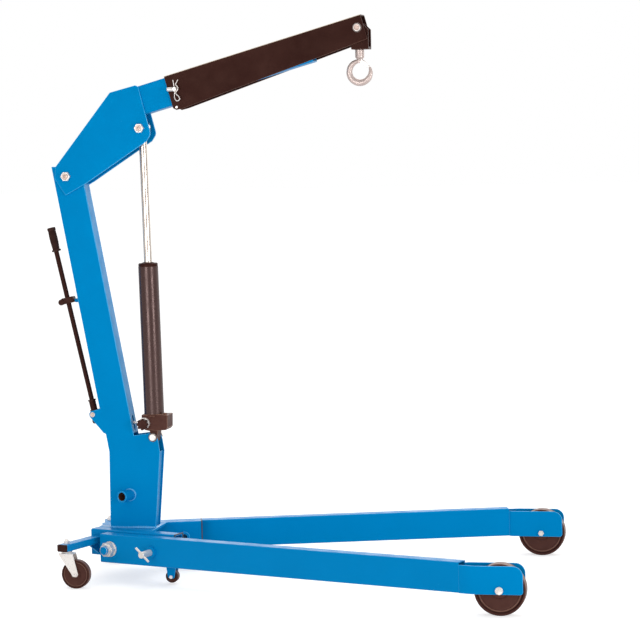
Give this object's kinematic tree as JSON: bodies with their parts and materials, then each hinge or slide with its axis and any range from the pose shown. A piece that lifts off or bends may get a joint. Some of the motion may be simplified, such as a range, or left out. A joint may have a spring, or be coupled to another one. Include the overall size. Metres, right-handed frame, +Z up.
{
  "type": "engine hoist crane",
  "caption": "Folding floor crane with splayed wheeled legs, a leaning mast, hand-pumped hydraulic ram, telescoping boom and swivel hook.",
  "frame": {"origin": "on the floor, under the middle of the whole crane's bounding box", "axes": "+X towards the leg tips and the hook, +Y to the crane's left, +Z up"},
  "size_m": [1.7526, 1.174, 1.9477],
  "materials": {
    "blue_paint": "gloss enamel",
    "black_paint": "semi-gloss",
    "zinc_plate": "bright zinc plate",
    "chromed_rod": "polished",
    "hook_steel": "plated forging",
    "wheel_plastic": "satin nylon",
    "black_plastic": "moulded",
    "rubber_grip": "matt"
  },
  "bodies": {
    "chassis": {"chassis_rail_right": "blue_paint", "chassis_rail_left": "blue_paint", "chassis_deck": "blue_paint", "caster_arm_right": "blue_paint", "caster_arm_left": "blue_paint", "arm_gussets": "blue_paint", "arm_end_caps": "black_plastic", "caster_stem_bolts": "zinc_plate", "roller_brackets": "blue_paint", "roller_bolts": "zinc_plate", "storage_bosses": "blue_paint", "leg_pivot_fasteners": "zinc_plate", "mast_side_plate_right": "blue_paint", "mast_side_plate_left": "blue_paint", "mast_front_wall": "blue_paint", "mast_rear_wall": "blue_paint", "mast_base_walls": "blue_paint", "mast_pivot_bolts": "zinc_plate", "lever_bolt": "zinc_plate", "clip_post": "blue_paint", "handle_clip": "black_plastic"},
    "leg_right": {"leg_tube_right": "blue_paint", "leg_fork_right": "blue_paint", "front_axle_right": "zinc_plate"},
    "front_wheel_right": {"front_wheel_right": "wheel_plastic"},
    "lock_pin_right": {"lock_pin_right": "zinc_plate"},
    "caster_right": {"caster_fork_right": "zinc_plate", "caster_axle_right": "zinc_plate"},
    "caster_wheel_right": {"caster_wheel_right": "wheel_plastic"},
    "roller_right": {"roller_right": "wheel_plastic"},
    "leg_left": {"leg_tube_left": "blue_paint", "leg_fork_left": "blue_paint", "front_axle_left": "zinc_plate"},
    "front_wheel_left": {"front_wheel_left": "wheel_plastic"},
    "lock_pin_left": {"lock_pin_left": "zinc_plate"},
    "caster_left": {"caster_fork_left": "zinc_plate", "caster_axle_left": "zinc_plate"},
    "caster_wheel_left": {"caster_wheel_left": "wheel_plastic"},
    "roller_left": {"roller_left": "wheel_plastic"},
    "boom": {"boom_side_plate_right": "blue_paint", "boom_side_plate_left": "blue_paint", "boom_tube": "blue_paint", "ram_top_bolt": "zinc_plate"},
    "jib": {"jib_channel": "black_paint", "jib_bolts": "zinc_plate"},
    "jib_pin": {"jib_pin": "zinc_plate"},
    "r_clip": {"r_clip": "zinc_plate"},
    "hanger": {"hook_hanger": "black_paint"},
    "hook": {"hook": "hook_steel", "hook_collar": "zinc_plate"},
    "hook_latch": {"hook_latch": "zinc_plate"},
    "ram": {"ram_barrel": "black_paint", "ram_gland": "black_paint", "pump_block": "black_paint"},
    "piston_rod": {"piston_rod": "chromed_rod"},
    "release_knob": {"release_knob": "black_plastic"},
    "plunger": {"pump_plunger": "zinc_plate"},
    "lever": {"pump_lever": "black_paint"},
    "handle": {"pump_handle": "black_paint", "handle_grip": "rubber_grip"}
  },
  "joints": [
    {"name": "leg_right_fold", "type": "hinge", "parent": "chassis", "child": "leg_right", "pos_m": [-0.62322, -0.12714, 0.121], "axis": [-0.3057, -0.9521, 0], "range_deg": [0, 85]},
    {"name": "front_wheel_right_roll", "type": "hinge", "parent": "leg_right", "child": "front_wheel_right", "pos_m": [0.7938, -0.546, 0.084], "axis": [0, 1, 0], "continuous": true},
    {"name": "lock_pin_right_slide", "type": "slide", "parent": "leg_right", "child": "lock_pin_right", "axis": [-0.3057, -0.9521, 0], "range_m": [-0.04, 0.04]},
    {"name": "caster_right_swivel", "type": "hinge", "parent": "chassis", "child": "caster_right", "pos_m": [-0.75595, -0.24942, 0.12], "axis": [0, 0, 1], "continuous": true},
    {"name": "caster_wheel_right_roll", "type": "hinge", "parent": "caster_right", "child": "caster_wheel_right", "pos_m": [-0.72395, -0.24942, 0.05], "axis": [0, 1, 0], "continuous": true},
    {"name": "roller_right_roll", "type": "hinge", "parent": "chassis", "child": "roller_right", "pos_m": [-0.41023, -0.14091, 0.028], "axis": [0, 1, 0], "continuous": true},
    {"name": "leg_left_fold", "type": "hinge", "parent": "chassis", "child": "leg_left", "pos_m": [-0.62322, 0.12714, 0.121], "axis": [0.3057, -0.9521, 0], "range_deg": [0, 85]},
    {"name": "front_wheel_left_roll", "type": "hinge", "parent": "leg_left", "child": "front_wheel_left", "pos_m": [0.7938, 0.546, 0.084], "axis": [0, 1, 0], "continuous": true},
    {"name": "lock_pin_left_slide", "type": "slide", "parent": "leg_left", "child": "lock_pin_left", "axis": [-0.3057, 0.9521, 0], "range_m": [-0.04, 0.04]},
    {"name": "caster_left_swivel", "type": "hinge", "parent": "chassis", "child": "caster_left", "pos_m": [-0.75595, 0.24942, 0.12], "axis": [0, 0, 1], "continuous": true},
    {"name": "caster_wheel_left_roll", "type": "hinge", "parent": "caster_left", "child": "caster_wheel_left", "pos_m": [-0.72395, 0.24942, 0.05], "axis": [0, 1, 0], "continuous": true},
    {"name": "roller_left_roll", "type": "hinge", "parent": "chassis", "child": "roller_left", "pos_m": [-0.41023, 0.14091, 0.028], "axis": [0, 1, 0], "continuous": true},
    {"name": "boom_lift", "type": "hinge", "parent": "chassis", "child": "boom", "pos_m": [-0.789, 0, 1.4175], "axis": [0, -1, 0], "range_deg": [-30, 7]},
    {"name": "jib_extend", "type": "slide", "parent": "boom", "child": "jib", "axis": [0.9646, 0, 0.2639], "range_m": [0, 0.3]},
    {"name": "jib_pin_pull", "type": "slide", "parent": "jib", "child": "jib_pin", "axis": [0, 1, 0], "range_m": [0, 0.006]},
    {"name": "r_clip_pull", "type": "slide", "parent": "jib_pin", "child": "r_clip", "axis": [0, 0, -1], "range_m": [0, 0.06]},
    {"name": "hanger_swing", "type": "hinge", "parent": "jib", "child": "hanger", "pos_m": [0.262, 0, 1.903], "axis": [0, 1, 0], "range_deg": [-60, 40]},
    {"name": "hook_swivel", "type": "hinge", "parent": "hanger", "child": "hook", "pos_m": [0.262, 0, 1.83], "axis": [0, 0, 1], "continuous": true},
    {"name": "hook_latch_open", "type": "hinge", "parent": "hook", "child": "hook_latch", "pos_m": [0.265, 0, 1.793], "axis": [0, 1, 0], "range_deg": [0, 35], "stiffness_Nm_per_rad": 0.05, "springref_deg": -17.19},
    {"name": "ram_tilt", "type": "hinge", "parent": "chassis", "child": "ram", "pos_m": [-0.5014, 0, 0.4974], "axis": [0, -1, 0], "range_deg": [-6, 4]},
    {"name": "piston_rod_slide", "type": "slide", "parent": "ram", "child": "piston_rod", "axis": [-0.0139, 0, 0.9999], "range_m": [-0.2, 0.06]},
    {"name": "release_knob_turn", "type": "hinge", "parent": "ram", "child": "release_knob", "pos_m": [-0.529, -0.05, 0.5465], "axis": [0, -1, 0], "range_deg": [0, 180]},
    {"name": "pump_lever_swing", "type": "hinge", "parent": "chassis", "child": "lever", "pos_m": [-0.72, 0, 0.577], "axis": [0, -1, 0], "range_deg": [0, 45]},
    {"name": "plunger_slide", "type": "slide", "parent": "chassis", "child": "plunger", "axis": [1, 0, 0], "range_m": [0, 0.022]},
    {"name": "handle_pull", "type": "slide", "parent": "lever", "child": "handle", "axis": [-0.213, 0, 0.977], "range_m": [0, 0.06]}
  ],
  "couplings": [
    {"joint": "ram_tilt", "follows": "boom_lift", "ratio": 0.102},
    {"joint": "piston_rod_slide", "follows": "boom_lift", "m_per_rad": 0.298},
    {"joint": "plunger_slide", "follows": "pump_lever_swing", "m_per_rad": 0.0242}
  ]
}
